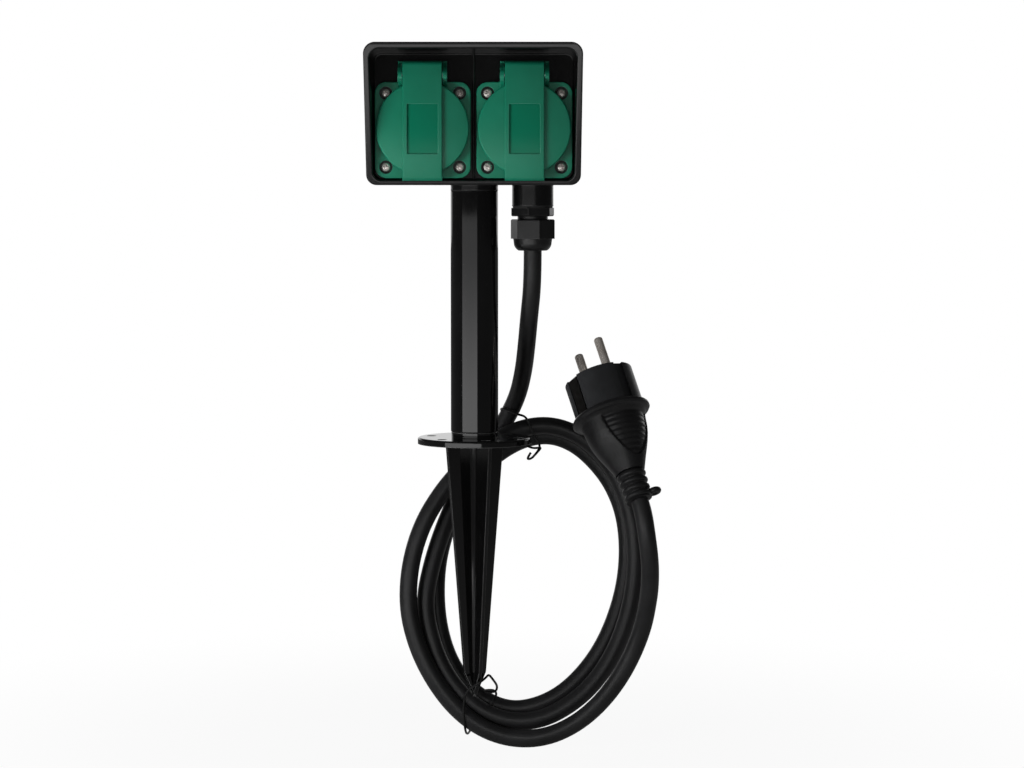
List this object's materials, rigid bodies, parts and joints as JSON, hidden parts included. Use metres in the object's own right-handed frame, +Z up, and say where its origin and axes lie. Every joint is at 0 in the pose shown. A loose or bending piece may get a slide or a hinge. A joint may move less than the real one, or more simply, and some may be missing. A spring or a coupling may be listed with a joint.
{
  "type": "garden socket spike",
  "caption": "Black garden socket spike with two green outdoor sockets under sprung lids, a post with a ribbed ground spike, and a coiled rubber lead with its plug.",
  "frame": {"origin": "Centre of the ground disc's underside, where the spike enters the ground.", "axes": "+Z runs up the post, the sockets face -Y, +X is to the right of someone who faces them."},
  "size_m": [0.1554, 0.1037, 0.3723],
  "materials": {
    "housing_plastic": "moulded black plastic, fine satin grain",
    "socket_plastic": "moulded dark green plastic, semi-matt",
    "seal_rubber": "soft black rubber",
    "gland_nylon": "black nylon, satin",
    "spike_plastic": "moulded black plastic, glossy",
    "cable_rubber": "black rubber sheath, smooth and matt",
    "plug_rubber": "black rubber, matt with fine grain",
    "plug_plastic": "hard black plastic, satin",
    "plug_nickel": "nickel-plated brass, bright",
    "screw_steel": "nickel-plated steel",
    "hinge_steel": "stainless steel",
    "contact_brass": "plain brass",
    "carrier_plastic": "grey glass-filled plastic",
    "live_insulation": "brown wire insulation",
    "neutral_insulation": "blue wire insulation",
    "earth_insulation": "green and yellow wire insulation",
    "tie_coating": "black plastic-coated tie wire"
  },
  "bodies": {
    "base": {"cable_coil": "cable_rubber", "cable_inlet": "cable_rubber", "cable_lead": "cable_rubber", "earth_wires": "earth_insulation", "gland_body": "gland_nylon", "gland_nut": "gland_nylon", "gland_seal": "seal_rubber", "gland_washer": "seal_rubber", "ground_spike": "spike_plastic", "housing_back": "housing_plastic", "housing_front": "housing_plastic", "housing_gasket": "seal_rubber", "housing_screws": "screw_steel", "left_base_gasket": "seal_rubber", "left_centre_screw": "screw_steel", "left_contact_carrier": "carrier_plastic", "left_contacts": "contact_brass", "left_earth_clip": "contact_brass", "left_flange_screws": "screw_steel", "left_hinge_pin": "hinge_steel", "left_lid_spring": "hinge_steel", "left_socket_base": "socket_plastic", "left_terminal_screws": "screw_steel", "live_wires": "live_insulation", "lower_tie": "tie_coating", "neutral_wires": "neutral_insulation", "plug_body": "plug_rubber", "plug_earth_contacts": "plug_nickel", "plug_face": "plug_plastic", "plug_pins": "plug_nickel", "post_screws": "screw_steel", "post_tube": "spike_plastic", "right_base_gasket": "seal_rubber", "right_centre_screw": "screw_steel", "right_contact_carrier": "carrier_plastic", "right_contacts": "contact_brass", "right_earth_clip": "contact_brass", "right_flange_screws": "screw_steel", "right_hinge_pin": "hinge_steel", "right_lid_spring": "hinge_steel", "right_socket_base": "socket_plastic", "right_terminal_screws": "screw_steel", "upper_tie": "tie_coating"},
    "left_lid": {"left_lid": "socket_plastic", "left_lid_seal": "seal_rubber"},
    "right_lid": {"right_lid": "socket_plastic", "right_lid_seal": "seal_rubber"}
  },
  "joints": [
    {"name": "left_lid_hinge", "type": "hinge", "parent": "base", "child": "left_lid", "pos_m": [-0.02625, -0.0304, 0.1928], "axis": [-1, 0, 0], "range_deg": [0, 105], "stiffness_Nm_per_rad": 0.02, "springref_deg": -28.65},
    {"name": "right_lid_hinge", "type": "hinge", "parent": "base", "child": "right_lid", "pos_m": [0.02625, -0.0304, 0.1928], "axis": [-1, 0, 0], "range_deg": [0, 105], "stiffness_Nm_per_rad": 0.02, "springref_deg": -28.65}
  ]
}
